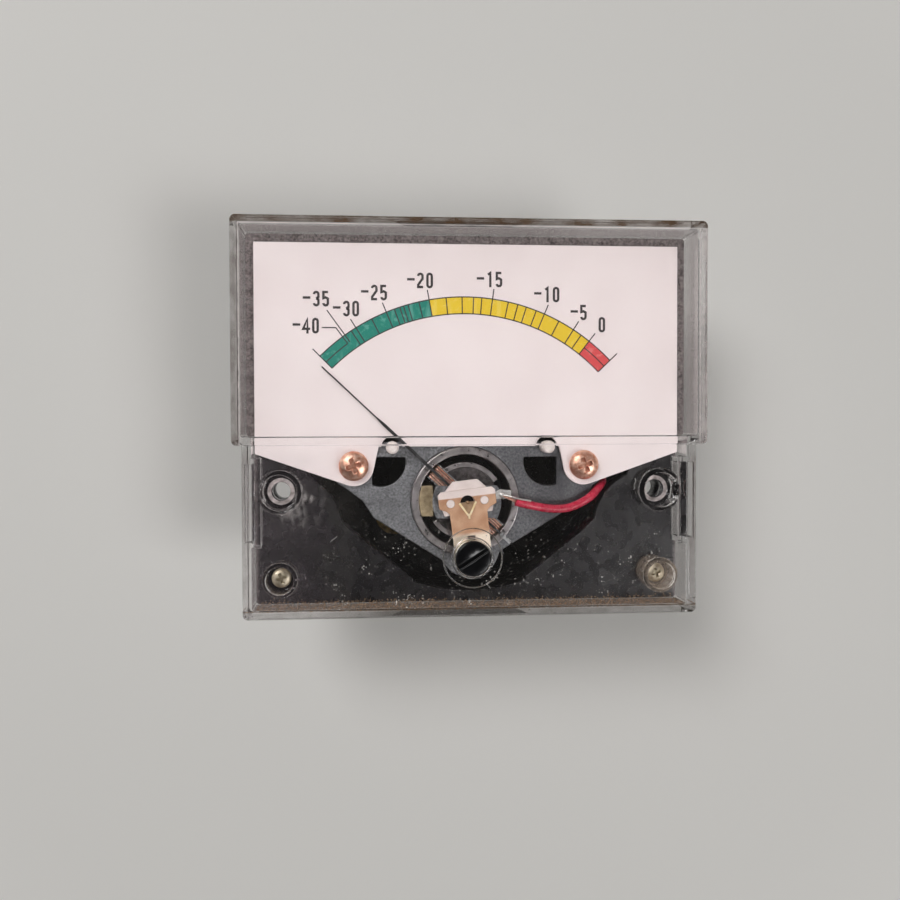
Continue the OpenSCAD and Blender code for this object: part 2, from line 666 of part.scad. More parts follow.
// Insulated lead
module red_lead() color("#b3263a") {
    steps = 4;
    sides = 8;
    across = [-0.5, 0.6, 0.6];
    pts = concat([for (i = [0:len(lead_path) - 2], k = [0:steps - 1]) curve(lead_path, i, k / steps)],
        [lead_path[len(lead_path) - 1]]);
    n = len(pts);
    rings = [for (i = [0:n - 1]) let (
        t = pts[min(i + 1, n - 1)] - pts[max(i - 1, 0)],
        u = cross(t, across) / norm(cross(t, across)),
        v = cross(t / norm(t), u))
        for (k = [0:sides - 1]) pts[i] + lead_r * (u * cos(k * 360 / sides) + v * sin(k * 360 / sides))];
    polyhedron(rings, concat([[for (k = [0:sides - 1]) sides - 1 - k]],
        [[for (k = [0:sides - 1]) (n - 1) * sides + k]],
        [for (i = [0:n - 2], k = [0:sides - 1]) let (j = (k + 1) % sides)
            [i * sides + k, i * sides + j, (i + 1) * sides + j, (i + 1) * sides + k]]), convexity = 6);
}

// Two brass studs with round heads inside the barrel
module terminal_studs() color("#b8944e") both(stud_span, stud_y) {
    translate([0, 0, floor_z]) cylinder(r = stud_head_r, h = stud_head);
    translate([0, 0, back_z - stud_l]) cylinder(r = stud_tip_r, h = stud_l);
    translate([0, 0, back_z - stud_l + stud_tip_l])
        cylinder(r = stud_r, h = stud_l - stud_tip_l + floor_t + 0.2);
}

// Washers behind the barrel
module terminal_washers() color("#c2a868") both(stud_span, stud_y)
    translate([0, 0, back_z - washer_t]) difference() {
        cylinder(r = washer_r, h = washer_t);
        translate([0, 0, -1]) cylinder(r = stud_r + fit, h = 5);
    }

// Two nuts on each stud
module terminal_nuts() color("#b8944e") both(stud_span, stud_y) for (k = [1, 2])
    translate([0, 0, back_z - washer_t - k * (nut_h + 0.05)]) difference() {
        cylinder(r = nut_af / sqrt(3), h = nut_h, $fn = 6);
        translate([0, 0, -1]) cylinder(r = stud_r + snug, h = 5);
    }

// Bent strap from the lower bridge to the left terminal
module return_strap() color("#b8995a") {
    top = low_bridge_z - bridge_t;
    foot = [-stud_span / 2, stud_y];
    translate([strap_x, pivot_y - 1, wire_z]) cube([0.6, 2, top - wire_z]);
    translate([strap_x, pivot_y - 1, top - 0.6]) cube([1.6, 2, 0.6]);
    translate([0, 0, wire_z]) linear_extrude(0.6) polygon([foot + [-1.5, -2.5], foot + [1, -2.5],
        [strap_x + 0.6, pivot_y - 1], [strap_x + 0.6, pivot_y + 1], [strap_x - 0.7, pivot_y + 1],
        foot + [-1.5, 0.5]]);
}

front_cover();
cover_screws();
zero_screw();
zero_clip();
base();
dial_plate();
dial_screws();
pointer_stops();
movement_frame();
yoke_ring();
core_magnet();
pole_shoes();
core_block();
bridge_posts();
upper_bridge();
lever_insulator();
zero_lever();
upper_spring();
upper_band();
coil_former();
coil_winding();
pointer();
tail_weight();
lower_bridge();
lower_spring();
lower_band();
lead_lug();
lead_solder();
red_lead();
terminal_studs();
terminal_washers();
terminal_nuts();
return_strap();
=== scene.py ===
"""Looks of the dew point meter: its finishes, the printed scale, the wound coil, the lead and the dust."""

import json
import math
import random

import bmesh
import bpy
from mathutils import Matrix, Vector


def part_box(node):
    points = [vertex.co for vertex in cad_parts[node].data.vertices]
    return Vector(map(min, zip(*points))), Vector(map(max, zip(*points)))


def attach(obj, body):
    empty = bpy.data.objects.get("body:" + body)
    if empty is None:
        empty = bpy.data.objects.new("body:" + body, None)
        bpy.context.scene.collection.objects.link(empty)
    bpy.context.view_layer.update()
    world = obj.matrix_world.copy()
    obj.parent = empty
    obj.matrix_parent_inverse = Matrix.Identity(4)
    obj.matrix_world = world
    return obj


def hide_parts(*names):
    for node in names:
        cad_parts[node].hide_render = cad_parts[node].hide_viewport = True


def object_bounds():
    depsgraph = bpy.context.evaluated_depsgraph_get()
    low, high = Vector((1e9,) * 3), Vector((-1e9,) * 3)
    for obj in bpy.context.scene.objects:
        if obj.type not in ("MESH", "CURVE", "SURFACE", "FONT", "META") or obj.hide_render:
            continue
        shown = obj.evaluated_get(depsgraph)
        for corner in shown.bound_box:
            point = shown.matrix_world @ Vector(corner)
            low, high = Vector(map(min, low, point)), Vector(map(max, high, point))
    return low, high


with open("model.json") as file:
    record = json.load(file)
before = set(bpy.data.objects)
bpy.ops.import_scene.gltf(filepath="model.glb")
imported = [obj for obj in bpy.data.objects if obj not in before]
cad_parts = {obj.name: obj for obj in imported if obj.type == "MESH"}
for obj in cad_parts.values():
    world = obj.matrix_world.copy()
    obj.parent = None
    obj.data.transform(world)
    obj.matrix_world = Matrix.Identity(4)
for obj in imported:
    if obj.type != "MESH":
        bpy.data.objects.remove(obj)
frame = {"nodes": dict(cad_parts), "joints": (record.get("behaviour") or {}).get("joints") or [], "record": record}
cad_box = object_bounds()
nodes = frame["nodes"]
MM = 0.001

# How far the lower panel lies behind the front of the window, in millimetres
PANEL_STEP = 1.6

# Places that the print and the wound pieces take from the solids
joint_at = {joint["name"]: Vector(joint["pos_m"]) for joint in frame["joints"]}
pivot = joint_at["pointer_swing"]
dial_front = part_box("dial_plate")[1].z
base_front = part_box("base")[1].z
panel_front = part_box("front_cover")[1].z - PANEL_STEP * MM
floor_height = cad_box[0].z
# Angle of the needle and of the zero lever at rest, in degrees
NEEDLE_REST = 136.7
LEVER_TILT = 6.2


# Small tools

def linear(code):
    """An sRGB hex colour as linear red, green, blue and alpha."""
    parts = [int(code[i:i + 2], 16) / 255 for i in (0, 2, 4)]
    return (*[p / 12.92 if p <= 0.04045 else ((p + 0.055) / 1.055) ** 2.4 for p in parts], 1.0)


def add(tree, kind, inputs=(), out=0, **settings):
    """Adds one node with its settings and gives one of its outputs.

    Inputs are values, or the sockets that feed them.
    """
    made = tree.nodes.new(kind)
    for name, value in settings.items():
        setattr(made, name, value)
    for key, value in dict(inputs).items():
        if isinstance(value, bpy.types.NodeSocket):
            tree.links.new(value, made.inputs[key])
        else:
            made.inputs[key].default_value = value
    return made.outputs[out] if len(made.outputs) else None


# Settings of the nodes that several finishes use
COLOURS = {"out": 2, "data_type": "RGBA"}
TIMES = {"operation": "MULTIPLY"}
MOST = {"operation": "MAXIMUM"}


def start(name):
    """An empty material and its tree."""
    made = bpy.data.materials.new(name)
    made.use_nodes = True
    made.node_tree.nodes.clear()
    return made, made.node_tree


def mottle(tree, size_mm, low, high, stretch=(1, 1, 1)):
    """A soft random value from low to high, in patches of the given size."""
    place = add(tree, "ShaderNodeTexCoord", out="Object")
    laid = add(tree, "ShaderNodeMapping", {"Vector": place, "Scale": stretch})
    cloud = add(tree, "ShaderNodeTexNoise", {"Vector": laid, "Scale": 1 / (size_mm * MM), "Detail": 2.0})
    return add(tree, "ShaderNodeMapRange", {"Value": cloud, "From Min": 0.3, "From Max": 0.7,
                                            "To Min": low, "To Max": high})


def drift(tree, size_mm, dark, light):
    """A colour that drifts between two shades, in patches of the given size."""
    share = mottle(tree, size_mm, 0.0, 1.0)
    return add(tree, "ShaderNodeMix", {0: share, 6: linear(dark), 7: linear(light)}, **COLOURS)


def specks(tree, spacing_mm, size_mm, stretch=(1, 1, 1)):
    """1 on specks of mixed size, 0 between them; stretched ones are flecks."""
    place = add(tree, "ShaderNodeTexCoord", out="Object")
    laid = add(tree, "ShaderNodeMapping", {"Vector": place, "Scale": stretch})
    away = add(tree, "ShaderNodeTexVoronoi", {"Vector": laid, "Scale": 1 / (spacing_mm * MM)})
    chance = add(tree, "ShaderNodeSeparateColor", {"Color": away.node.outputs["Color"]})
    mixed = add(tree, "ShaderNodeMath", {0: chance, 1: 3.0}, operation="POWER")
    reach = add(tree, "ShaderNodeMath", {0: mixed, 1: 0.5 * size_mm / spacing_mm}, **TIMES)
    return add(tree, "ShaderNodeMath", {0: away, 1: reach}, operation="LESS_THAN")


def past(tree, axis, first_mm, last_mm, middle_mm=None):
    """0 at the first place along an axis and 1 from the last on; with a middle, both ways from it."""
    place = add(tree, "ShaderNodeTexCoord", out="Object")
    along = add(tree, "ShaderNodeSeparateXYZ", {0: place}, out=axis)
    if middle_mm is not None:
        off = add(tree, "ShaderNodeMath", {0: along, 1: middle_mm * MM}, operation="SUBTRACT")
        along = add(tree, "ShaderNodeMath", {0: off}, operation="ABSOLUTE")
    return add(tree, "ShaderNodeMapRange", {
        "Value": along, "From Min": first_mm * MM, "From Max": last_mm * MM})


def around(tree, middle_mm, near_mm, far_mm):
    """1 at the near distance from an upright axis and 0 at the far one; swapped, it grows outwards."""
    place = add(tree, "ShaderNodeTexCoord", out="Object")
    flat = add(tree, "ShaderNodeVectorMath", {0: place, 1: (1, 1, 0)}, **TIMES)
    axis = (middle_mm[0] * MM, middle_mm[1] * MM, 0)
    away = add(tree, "ShaderNodeVectorMath", {0: flat, 1: axis}, out="Value", operation="DISTANCE")
    return add(tree, "ShaderNodeMapRange", {
        "Value": away, "From Min": far_mm * MM, "From Max": near_mm * MM})


def close(tree, **inputs):
    """Ends a material in one surface shader, with a relief where its height and depth are given."""
    relief = inputs.pop("relief", None)
    if relief:
        height, depth_mm = relief
        inputs["Normal"] = add(tree, "ShaderNodeBump", {"Height": height, "Distance": depth_mm * MM})
    named = {key.replace("_", " "): value for key, value in inputs.items()}
    surface = add(tree, "ShaderNodeBsdfPrincipled", named)
    add(tree, "ShaderNodeOutputMaterial", {"Surface": surface})


# Finishes

# Places on the cover that dirt and painted highlights lie at, in millimetres
PANEL_TOP = -4.5
WALL_IN, WALL_TOP, LOWER_WALL_IN, BOTTOM_WALL = 42.95, 36.0, 41.3, -35.25
BOSS_X, UPPER_BOSS_Y, LOWER_BOSS_Y = 36.05, -13.25, -29.6
LEDGE_X, LEDGE_Y, BASE_EDGE_Z = 40.9, 34.2, 5.0
PANEL_Z, WINDOW_Z = 12.9, 14.4
# Distances from an inner face at which its dirt and painted highlights start and are full
FACE_FADE = (0.16, 0.08)
# Stretch of streaks that run up and down the dial, or across it
UPRIGHT, ACROSS = (1, 0.4, 1), (0.4, 1, 1)


def cover_dirt(tree):
    """Where dirt and painted highlights lie on the cover, as pairs of their share and colour.

    The kinds share a few patterns, so that the cover renders in good time.
    """
    grains = mottle(tree, 0.35, 0.08, 0.36)
    clouds = mottle(tree, 7.0, 0.2, 1.0)
    gusts = mottle(tree, 4.5, -0.65, 0.95)
    streaks_up = mottle(tree, 2.0, 0.1, 0.6, UPRIGHT)
    streaks_across = mottle(tree, 1.6, 0.4, 0.95, ACROSS)
    smears = mottle(tree, 1.3, -0.6, 0.4, UPRIGHT)
    specks_and_flecks = add(tree, "ShaderNodeMath", {
        0: specks(tree, 0.5, 0.34), 1: specks(tree, 0.8, 0.3, UPRIGHT)}, **MOST)

    in_front = past(tree, "Z", PANEL_Z, PANEL_Z + 0.4)
    over_base = past(tree, "Z", BASE_EDGE_Z, BASE_EDGE_Z + 0.3)
    on_panel = past(tree, "Y", PANEL_TOP, PANEL_TOP - 3)
    on_window = past(tree, "Y", PANEL_TOP - 0.1, PANEL_TOP + 0.1)
    round_dial = add(tree, "ShaderNodeMath", {
        0: past(tree, "X", LEDGE_X, LEDGE_X + 0.3, 0), 1: past(tree, "Y", LEDGE_Y, LEDGE_Y + 0.3)}, **MOST)

    # Bands along the window's inner edges, where painted highlights lie
    sides = add(tree, "ShaderNodeMath", {
        0: past(tree, "X", *FACE_FADE, WALL_IN), 1: past(tree, "X", *FACE_FADE, -WALL_IN)}, **MOST)
    side_edge_highlights = add(tree, "ShaderNodeMath", {
        0: sides, 1: past(tree, "Y", WALL_TOP + 0.2, WALL_TOP)}, **TIMES)
    top_edge_highlight = add(tree, "ShaderNodeMath", {
        0: past(tree, "Y", *FACE_FADE, WALL_TOP), 1: past(tree, "X", WALL_IN + 0.2, WALL_IN, 0)}, **TIMES)
    edges = add(tree, "ShaderNodeMath", {0: side_edge_highlights, 1: top_edge_highlight}, **MOST)

    low_rims = past(tree, "X", LOWER_WALL_IN - 0.1, LOWER_WALL_IN + 0.1, 0)
    left_rim = past(tree, "X", 0.3 - WALL_IN, -WALL_IN - 0.2)
    right_rim_highlight = past(tree, "X", WALL_IN + 0.2, WALL_IN + 0.4)
    top_rim = past(tree, "Y", WALL_TOP + 0.1, WALL_TOP + 0.3)
    bottom_rim = past(tree, "Y", BOTTOM_WALL - 0.1, BOTTOM_WALL - 0.3)
    bottom_face = past(tree, "Y", *FACE_FADE, BOTTOM_WALL)
    by_upper_boss = around(tree, (3.5 - BOSS_X, UPPER_BOSS_Y - 2), 2.5, 6.0)
    at_lower_boss = around(tree, (BOSS_X, LOWER_BOSS_Y), 2.9, 3.4)

    kinds = (
        # A thin film all over, loose specks low down, haze on the left of the panel and smears by a boss
        ("C9C1B8", (clouds, 0.005)),
        ("DAD5CF", (specks_and_flecks, gusts, past(tree, "Y", -16.0, -26.0))),
        ("9C9094", (past(tree, "X", -20, -41), clouds, 0.1, on_panel)),
        ("BDB6B4", (by_upper_boss, smears)),
        # Dust inside the walls round the dial
        ("8C8080", (round_dial, over_base, on_window, 0.5, grains)),
        # Grime on the front of the rims: low sides, left, top and bottom; a painted highlight on the right rim
        ("7C6D6A", (low_rims, on_panel, in_front, 0.7, streaks_up)),
        ("6E5C55", (left_rim, in_front, streaks_up)),
        # Painted highlight on the front of the right rim
        ("DDD2D0", (right_rim_highlight, in_front, streaks_up)),
        ("5C4530", (top_rim, in_front, streaks_across)),
        ("5A5048", (bottom_rim, in_front, 0.35, streaks_across)),
        # Painted highlights along the front edges of the window's walls
        ("E0D6D4", (edges, past(tree, "Z", WINDOW_Z, WINDOW_Z + 0.4), on_window, streaks_across)),
        # Dust that lies on the bottom wall, and a stain round the lower right boss
        ("7A6049", (bottom_face, over_base, grains, 2.6)),
        ("CDBBAA", (at_lower_boss, grains)),
    )
    layers = []
    for colour, (share, *others) in kinds:
        for other in others:
            share = add(tree, "ShaderNodeMath", {0: share, 1: other}, **TIMES)
        layers.append((share, colour))
    return layers


def clear_acrylic():
    """Acrylic, injection moulded in a polished tool.

    It gives a clear glossy shell with bright rims. Handling left hairlines on it, dust lies on the lower panel and
    inside the bottom wall, and brown grime has settled on the rims but the right one. The right rim and the front
    edges of the window's walls carry painted highlights.
    """
    made, tree = start("clear_acrylic")
    hairlines = mottle(tree, 5.0, 0.0, 1.0, (1.0, 0.05, 1.0))
    scratched = add(tree, "ShaderNodeBump", {"Height": hairlines, "Distance": 0.002 * MM})
    gloss = add(tree, "ShaderNodeBsdfPrincipled", {
        "Base Color": linear("FCFBFB"), "Roughness": 0.03, "IOR": 1.49, "Transmission Weight": 1.0,
        "Normal": scratched})
    layers = cover_dirt(tree)
    share, shade = layers[0][0], linear(layers[0][1])
    for where, colour in layers[1:]:
        here = add(tree, "ShaderNodeMath", {0: where, 1: 0.02}, operation="GREATER_THAN")
        shade = add(tree, "ShaderNodeMix", {0: here, 6: shade, 7: linear(colour)}, **COLOURS)
        share = add(tree, "ShaderNodeMath", {0: share, 1: where}, **MOST)
    # One matt layer: dirt, dust, and the painted highlights on the right rim and the window's front edges
    dirt = add(tree, "ShaderNodeBsdfDiffuse", {"Color": shade})
    dirty = add(tree, "ShaderNodeMixShader", {0: share, 1: gloss, 2: dirt})
    shadow = add(tree, "ShaderNodeLightPath", out="Is Shadow Ray")
    passed = add(tree, "ShaderNodeBsdfTransparent", {"Color": linear("FCFBFB")})
    seen = add(tree, "ShaderNodeMixShader", {0: shadow, 1: dirty, 2: passed})
    add(tree, "ShaderNodeOutputMaterial", {"Surface": seen})
    return made


def black_phenolic():
    """Phenolic with wood flour in it, compression moulded.

    It gives a near-black satin skin with faint flow marks and pale flecks, and a painted shade darkens it down in
    the round hollow. Dust lies on its ledge round the dial.
    """
    made, tree = start("black_phenolic")
    pads = drift(tree, 4.0, "131214", "1B191C")
    # Painted shade: the skin goes near black down in the round hollow
    skin = add(tree, "ShaderNodeMix", {0: past(tree, "Z", 3.0, 5.2), 6: linear("060507"), 7: pads}, **COLOURS)
    flecks = add(tree, "ShaderNodeMath", {
        0: specks(tree, 0.6, 0.22), 1: mottle(tree, 5.0, -0.4, 0.8)}, **TIMES)
    flecked = add(tree, "ShaderNodeMix", {0: flecks, 6: skin, 7: linear("A9A29B")}, **COLOURS)
    ledge = add(tree, "ShaderNodeMath", {
        0: past(tree, "X", LEDGE_X - 0.5, LEDGE_X + 0.3, 0),
        1: past(tree, "Y", LEDGE_Y - 0.8, LEDGE_Y - 0.1)}, **MOST)
    flat = add(tree, "ShaderNodeMath", {
        0: ledge, 1: past(tree, "Z", BASE_EDGE_Z, BASE_EDGE_Z + 0.3)}, **TIMES)
    settled = add(tree, "ShaderNodeMath", {0: flat, 1: mottle(tree, 0.5, 0.15, 0.8)}, **TIMES)
    dusty = add(tree, "ShaderNodeMix", {0: settled, 6: flecked, 7: linear("958A88")}, **COLOURS)
    close(tree, Base_Color=dusty, Roughness=mottle(tree, 2.5, 0.22, 0.34), IOR=1.55,
          relief=(mottle(tree, 0.4, 0.0, 1.0), 0.004))
    return made


def dial_enamel():
    """White stove enamel, sprayed on a metal sheet.

    It gives a slightly rosy, even white with a soft orange peel and a few dark specks of dirt.
    """
    made, tree = start("white_dial_enamel")
    white = drift(tree, 9.0, "EFE3E2", "F4E9E8")
    dirty = add(tree, "ShaderNodeMix", {0: specks(tree, 5.0, 0.6), 6: white, 7: linear("9A8F88")}, **COLOURS)
    close(tree, Base_Color=dirty, Roughness=mottle(tree, 4.0, 0.38, 0.5), IOR=1.5,
          relief=(mottle(tree, 2.5, 0.0, 1.0), 0.001))
    return made


def tan_bronze():
    """Bronze sheet, stamped and left bare.

    It gives a warm satin tan, with a painted highlight along the bent upper edge of the zero lever, and it is
    paler at its foot.
    """
    made, tree = start("tan_bronze_sheet")
    place = add(tree, "ShaderNodeTexCoord", out="Object")
    lean = math.radians(LEVER_TILT)
    off = add(tree, "ShaderNodeVectorMath", {0: place, 1: pivot}, operation="SUBTRACT")
    up = add(tree, "ShaderNodeVectorMath", {0: off, 1: (-math.sin(lean), math.cos(lean), 0)}, out="Value",
             operation="DOT_PRODUCT")
    # Painted highlight: the bent upper edge goes near white, as if light glinted on it
    painted_highlight = add(tree, "ShaderNodeMapRange", {"Value": up, "From Min": 1.0 * MM, "From Max": 1.2 * MM})
    foot = add(tree, "ShaderNodeMapRange", {"Value": up, "From Min": -5.6 * MM, "From Max": -6.4 * MM})
    tan = drift(tree, 1.8, "C09475", "DAB496")
    headed = add(tree, "ShaderNodeMix", {0: painted_highlight, 6: tan, 7: linear("EFE2DD")}, **COLOURS)
    tan_highlit_pale_foot = add(tree, "ShaderNodeMix", {0: foot, 6: headed, 7: linear("F6E8D6")}, **COLOURS)
    close(tree, Base_Color=tan_highlit_pale_foot, Metallic=1.0, Roughness=mottle(tree, 0.9, 0.48, 0.62),
          relief=(mottle(tree, 0.3, 0.0, 1.0), 0.002))
    return made


def zinc_plate():
    """Zinc plate on punched steel.

    It gives a satin grey with a fine dark grain and cloudy patches, and a painted shade darkens it towards the
    right.
    """
    made, tree = start("grey_zinc_plate")
    grain = drift(tree, 0.45, "6E6F72", "A8A9AC")
    # Painted shade: the plate goes dark grey towards the right, in cloudy patches
    dull = add(tree, "ShaderNodeMath", {0: past(tree, "X", -2, 18), 1: mottle(tree, 6.0, 0.5, 1.0)}, **TIMES)
    zinc = add(tree, "ShaderNodeMix", {0: dull, 6: grain, 7: linear("48484B")}, **COLOURS)
    close(tree, Base_Color=zinc, Metallic=1.0, Roughness=mottle(tree, 1.5, 0.38, 0.52),
          relief=(mottle(tree, 0.3, 0.0, 1.0, (1.0, 0.4, 1.0)), 0.005))
    return made


def plastic(name, dark, light, patch_mm, rough):
    """Plain moulded plastic or paint: one colour that drifts a little between two shades."""
    made, tree = start(name)
    close(tree, Base_Color=drift(tree, patch_mm, dark, light),
          Roughness=mottle(tree, patch_mm * 0.6, rough * 0.85, rough * 1.15), IOR=1.5,
          relief=(mottle(tree, 0.35, 0.0, 1.0), 0.0015))
    return made


def metal(name, dull, bright, patch_mm, rough, mark_mm=0.3, mark_deep=0.001, stretch=(1, 1, 1)):
    """Bare or plated metal: patches of dull and bright, and the fine marks that its making left."""
    made, tree = start(name)
    close(tree, Base_Color=drift(tree, patch_mm, dull, bright), Metallic=1.0,
          Roughness=mottle(tree, patch_mm * 0.5, rough * 0.8, rough * 1.2),
          relief=(mottle(tree, mark_mm, 0.0, 1.0, stretch), mark_deep))
    return made


def printed_ink(name, thick, thin, wear):
    """Screen ink on enamel: a flat colour, rubbed thin in small patches and in fine scratches."""
    made, tree = start(name)
    rubbed = mottle(tree, 1.1, -1.4, wear)
    scratches = mottle(tree, 1.6, -2.4, wear, (1.0, 0.12, 1.0))
    worn = add(tree, "ShaderNodeMath", {0: rubbed, 1: scratches}, **MOST)
    ink = add(tree, "ShaderNodeMix", {0: worn, 6: linear(thick), 7: linear(thin)}, **COLOURS)
    close(tree, Base_Color=ink, Roughness=mottle(tree, 0.8, 0.4, 0.55), IOR=1.5)
    return made


finishes = {
    "clear_acrylic": clear_acrylic(),
    "dark_phenolic": black_phenolic(),
    "dial_enamel": dial_enamel(),
    "tan_bronze": tan_bronze(),
    # Nickel plate on headed steel wire: a warm bright silver, dulled by handling
    "plated_steel": metal("nickel_plated_steel", "B8AC94", "DCD1BC", 0.8, 0.4),
    # Polished phenolic: a deep glossy black
    "black_plastic": plastic("polished_black_phenolic", "0A0A0C", "111114", 2.0, 0.2),
    # A flash of copper on steel: pink and bright on the high spots, brown in the low ones
    "copper_plate": metal("copper_plated_steel", "DC9478", "FFD6BE", 0.7, 0.36),
    # Nylon, turned from rod: a matt warm white
    "white_plastic": plastic("white_nylon", "DDD2CC", "EFE6E2", 0.8, 0.4),
    "grey_zinc": zinc_plate(),
    # Soft iron, turned and bright dipped: a smooth pale grey
    "soft_iron": metal("turned_soft_iron", "A8A2A2", "D2CCCC", 2.0, 0.33),
    # Sintered magnet alloy, ground flat: a dull dark grey
    "magnet_alloy": metal("ground_magnet_alloy", "3E3A3A", "6B6666", 0.7, 0.5),
    # Old brass: olive brown with paler rubbed spots
    "olive_brass": metal("tarnished_brass", "A39072", "D6C4A2", 1.0, 0.5),
    # Brass, turned and rolled: a bright yellow
    "brass": metal("plain_brass", "C3A05A", "E4C888", 1.5, 0.3),
    # Moulded nylon: a glossy cream
    "cream_plastic": plastic("cream_nylon", "D8CAC5", "E8DCD8", 1.5, 0.34),
    # Aluminium sheet, sheared and folded: a clean pale silver
    "aluminium_sheet": metal("aluminium_sheet", "D0D2D3", "E8E9E9", 1.0, 0.28),
    # Copper wire under clear enamel: pink and bright along each turn
    "copper_wire": metal("enamelled_copper_wire", "F0AC92", "FFE0D0", 0.7, 0.42, 0.5, 0.0005),
    # Flat paint on aluminium: a dead black
    "black_paint": plastic("flat_black_paint", "151416", "201F21", 1.0, 0.5),
    # Tin, laid on hot: smooth and bright, a little cloudy
    "tinned_metal": metal("tinned_metal", "DEDCD8", "F8F7F5", 0.8, 0.36, 0.4, 0.003),
    # Soft vinyl, extruded: a smooth satin red
    "red_sleeve": plastic("red_vinyl_sleeve", "B3223C", "C7304C", 2.0, 0.28),
}
slot_of = {part["node"]: part["material_slot"] for part in frame["record"]["subparts"]}
for name, solid in nodes.items():
    solid.material_slots[0].material = finishes[slot_of[name]]


# Rounded edges of the moulded and stamped pieces

def soften(node, width_mm):
    """Rounds the solid's sharp edges as its mould, press or lathe left them."""
    solid = nodes[node]
    for kind, settings in (
        ("WELD", {"merge_threshold": 1e-6}),
        ("DECIMATE", {"decimate_type": "DISSOLVE", "angle_limit": math.radians(1)}),
        ("BEVEL", {"width": width_mm * MM, "segments": 2, "limit_method": "ANGLE",
                   "angle_limit": math.radians(35), "use_clamp_overlap": False, "harden_normals": True}),
    ):
        step = solid.modifiers.new(kind.lower(), kind)
        for key, value in settings.items():
            setattr(step, key, value)


# Width of each solid's rounded edges, in millimetres
EDGE_WIDTHS = {
    "front_cover": 0.2, "base": 0.2, "dial_plate": 0.06, "movement_frame": 0.2, "yoke_ring": 0.25,
    "pole_shoes": 0.1, "core_block": 0.15, "upper_bridge": 0.08, "zero_lever": 0.07, "lever_insulator": 0.1,
    "lead_lug": 0.05, "cover_screws": 0.07, "dial_screws": 0.09, "zero_screw": 0.1, "terminal_nuts": 0.2,
    "terminal_studs": 0.15, "terminal_washers": 0.12,
}
for node, width in EDGE_WIDTHS.items():
    soften(node, width)


# Meshes

def piece(name, body, finish, build, stands_for=()):
    """A mesh piece made by build, riding on a body, in place of the named solids."""
    mesh = bpy.data.meshes.new(name)
    shape = bmesh.new()
    build(shape)
    bmesh.ops.recalc_face_normals(shape, faces=shape.faces)
    shape.to_mesh(mesh)
    shape.free()
    made = bpy.data.objects.new(name, mesh)
    bpy.context.scene.collection.objects.link(made)
    mesh.materials.append(finish)
    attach(made, body)
    if stands_for:
        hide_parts(*stands_for)
    return made


def arc(centre, radius, first, last, steps):
    """Points on an arc, by angles in degrees."""
    turns = [math.radians(first + (last - first) * i / steps) for i in range(steps + 1)]
    return [(centre[0] + radius * math.cos(a), centre[1] + radius * math.sin(a)) for a in turns]


def strip(shape, path, width, low, high, closed=False):
    """A flat strip of even width along a path in millimetres, from one height to another in metres."""
    points = [Vector(p) for p in path]
    count = len(points)
    rows = []
    for i, here in enumerate(points):
        runs = []
        if i or closed:
            runs.append((here - points[i - 1]).normalized())
        if i + 1 < count or closed:
            runs.append((points[(i + 1) % count] - here).normalized())
        along = sum(runs, Vector((0, 0))).normalized()
        side = Vector((-along.y, along.x))
        side *= width / 2 / max(0.5, abs(side.dot(Vector((-runs[0].y, runs[0].x)))))
        rows.append([shape.verts.new((*(p * MM), z))
                     for z in (low, high) for p in (here - side, here + side)])
    for a, b in zip(rows, rows[1:] + ([rows[0]] if closed else [])):
        for p, q in ((0, 1), (1, 3), (3, 2), (2, 0)):
            shape.faces.new((a[p], a[q], b[q], b[p]))
    if not closed:
        for end in (rows[0], rows[-1]):
            shape.faces.new((end[0], end[1], end[3], end[2]))


def tube(shape, path, radius, sides, closed=False):
    """A round tube along a path."""
    count = len(path)
    rings = []
    across = None
    for i, here in enumerate(path):
        before = path[i - 1] if i or closed else here
        after = path[(i + 1) % count] if i + 1 < count or closed else here
        along = (after - before).normalized()
        if across is None:
            across = along.orthogonal()
        across = (across - along * across.dot(along)).normalized()
        over = along.cross(across)
        turns = [math.tau * k / sides for k in range(sides)]
        rings.append([shape.verts.new(here + (across * math.cos(t) + over * math.sin(t)) * radius)
                      for t in turns])
    for a, b in zip(rings, rings[1:] + ([rings[0]] if closed else [])):
        for k in range(sides):
            face = shape.faces.new((a[k], a[(k + 1) % sides], b[(k + 1) % sides], b[k]))
            face.smooth = True
    if not closed:
        shape.faces.new(rings[0])
        shape.faces.new(rings[-1])


def smooth(points, steps):
    """A smooth line through points in millimetres."""
    points = [Vector(p) for p in points]
    line = []
    for i in range(len(points) - 1):
        a, b, c, d = (points[min(max(k, 0), len(points) - 1)] for k in (i - 1, i, i + 1, i + 2))
        for t in (k / steps for k in range(steps)):
            line.append(0.5 * (2 * b + (c - a) * t + (2 * a - 5 * b + 4 * c - d) * t ** 2
                               + (3 * b - a - 3 * c + d) * t ** 3))
    return [p * MM for p in line + [points[-1]]]


# Printed scale: millimetres from the coil's axis, degrees from the X axis

BAND_IN, BAND_OUT = 36.22, 39.45
TICK_OUT = 41.4
LINE = 0.22
SCALE = {-40: 126.6, -35: 125.8, -30: 122.15, -25: 112.6, -20: 100.1, -15: 82.15, -10: 66.8, -5: 57.4,
         0: 51.85}
SCALE_START, SCALE_END = 134.9, 43.75
DIVISIONS = (123.7, 117.1, 110.2, 108.6, 107.5, 106.2, 103.0, 95.3, 90.8, 87.5, 85.2,
             77.6, 74.8, 72.3, 69.3, 62.2, 54.7)
LEADER_35, LEADER_40 = 45.3, 41.6
LEADER_40_RUN = 2.65
